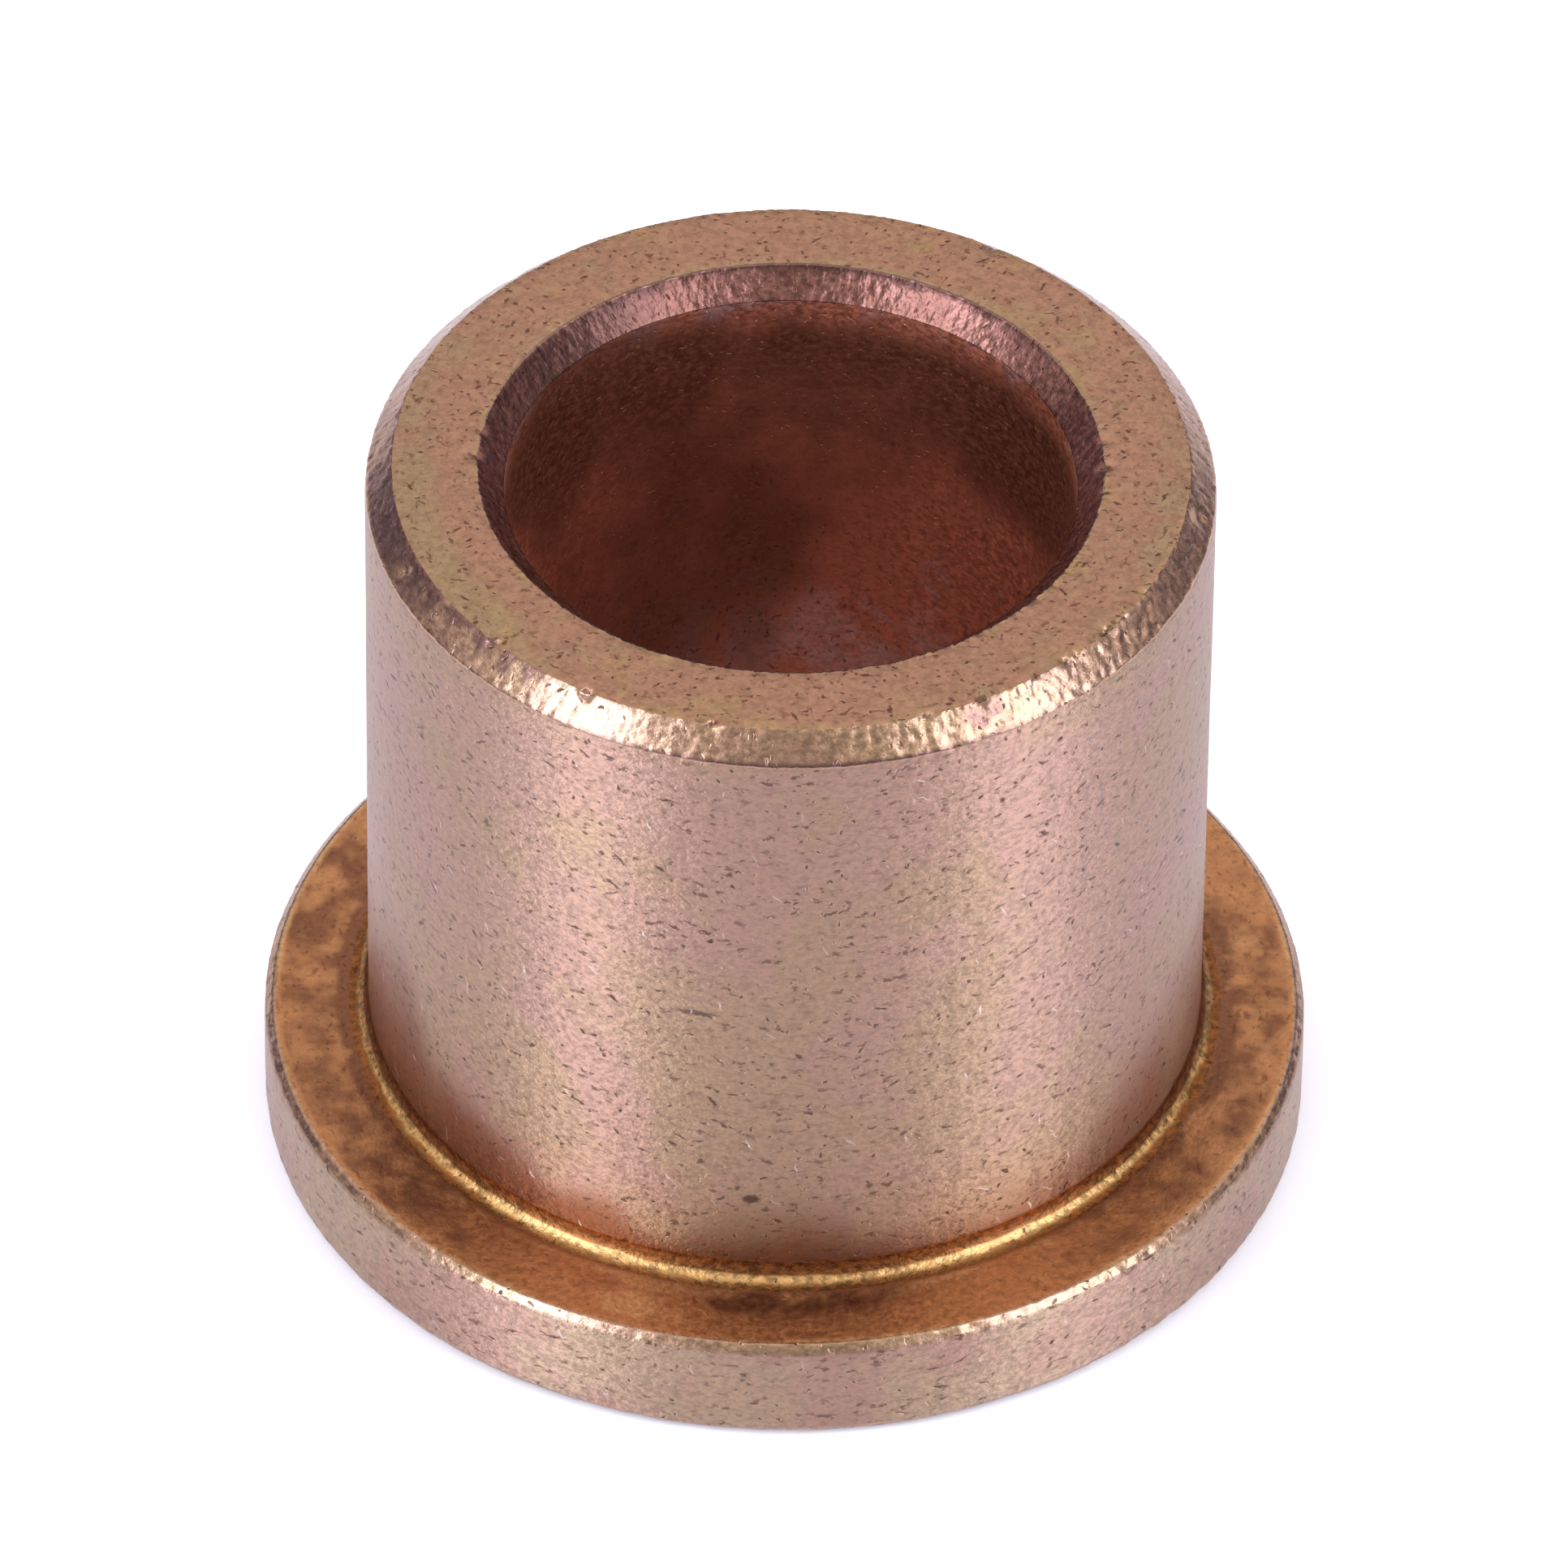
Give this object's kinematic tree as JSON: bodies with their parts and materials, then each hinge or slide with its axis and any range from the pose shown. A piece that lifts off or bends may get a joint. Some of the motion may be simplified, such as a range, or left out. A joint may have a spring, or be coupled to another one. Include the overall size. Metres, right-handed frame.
{
  "type": "flanged bushing",
  "caption": "Plain round bearing bushing with a flange at one end, for a shaft that turns in its bore and bears against the flange.",
  "frame": {"origin": "centre of the flange's underside, on the bore's axis", "axes": "+Z along the bore, from the flange towards the barrel's free end"},
  "size_m": [0.0238, 0.0238, 0.0186],
  "materials": {
    "bronze": "sintered bronze, satin, with fine open pores and short scratches"
  },
  "bodies": {
    "root": {"bushing": "bronze"}
  },
  "joints": []
}
